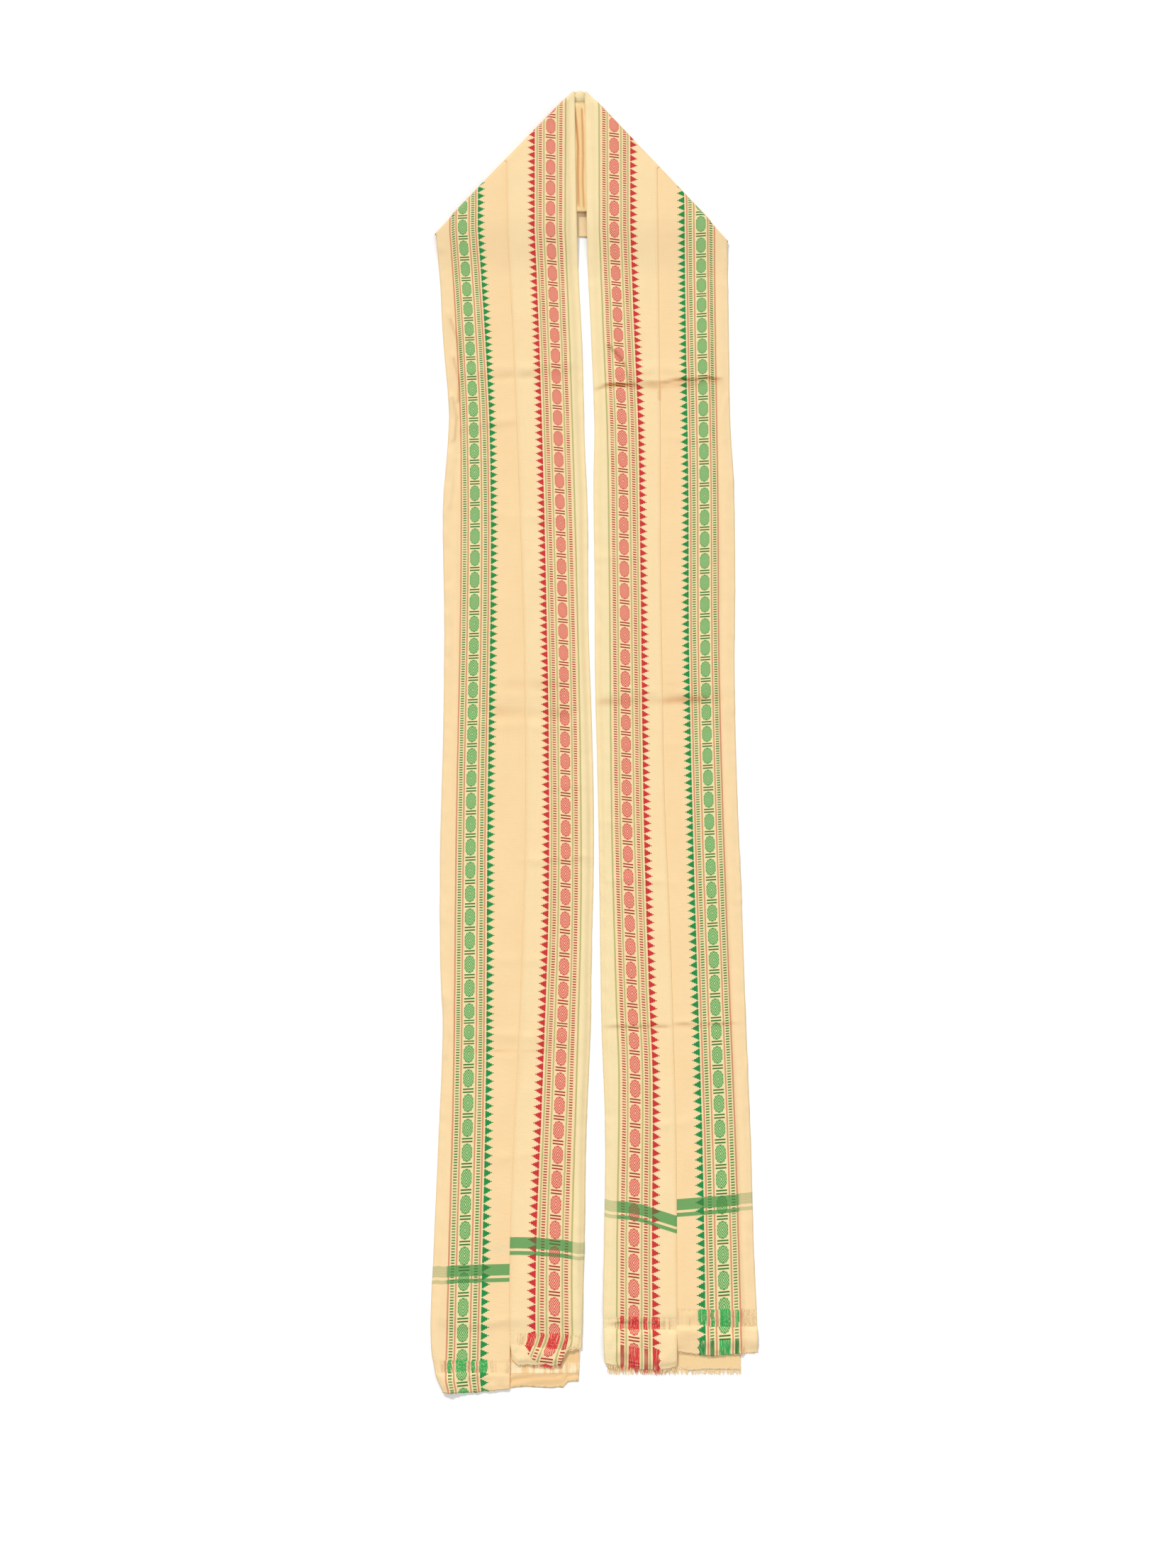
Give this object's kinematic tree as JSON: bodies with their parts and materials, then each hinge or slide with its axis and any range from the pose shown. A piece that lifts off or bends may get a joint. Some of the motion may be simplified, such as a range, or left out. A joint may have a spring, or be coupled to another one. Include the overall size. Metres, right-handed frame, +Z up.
{
  "type": "uttariya, a folded woven stole laid flat",
  "caption": "Long woven stole with a green and a red border, folded lengthwise and laid flat in a narrow U with two slanted folds at the neck and fringed ends.",
  "frame": {"origin": "middle of the laid outline, on the surface that it lies on", "axes": "+Y towards the neck folds, +X towards the right strip as seen from above, +Z up off the surface"},
  "size_m": [0.2469, 1.0077, 0.0069],
  "materials": {
    "cloth_green_side": "matt peach-cream plain weave with a green medallion border and salmon pinstripes",
    "cloth_red_side": "matt cream plain weave with a red medallion border and olive pinstripes",
    "plain_cloth": "matt plain weave, the cloth's undyed middle",
    "warp_threads": "loose untwisted warp threads"
  },
  "bodies": {
    "root": {"left_green_panel": "cloth_green_side", "left_red_panel": "cloth_red_side", "right_red_panel": "cloth_red_side", "right_green_panel": "cloth_green_side", "neck_green_panel": "cloth_green_side", "neck_red_panel": "cloth_red_side", "neck_underlayers": "plain_cloth", "left_underlayers": "plain_cloth", "right_underlayers": "plain_cloth", "right_red_fringe": "warp_threads", "right_green_fringe": "warp_threads", "right_base_fringe": "warp_threads", "left_red_fringe": "warp_threads"}
  },
  "joints": []
}
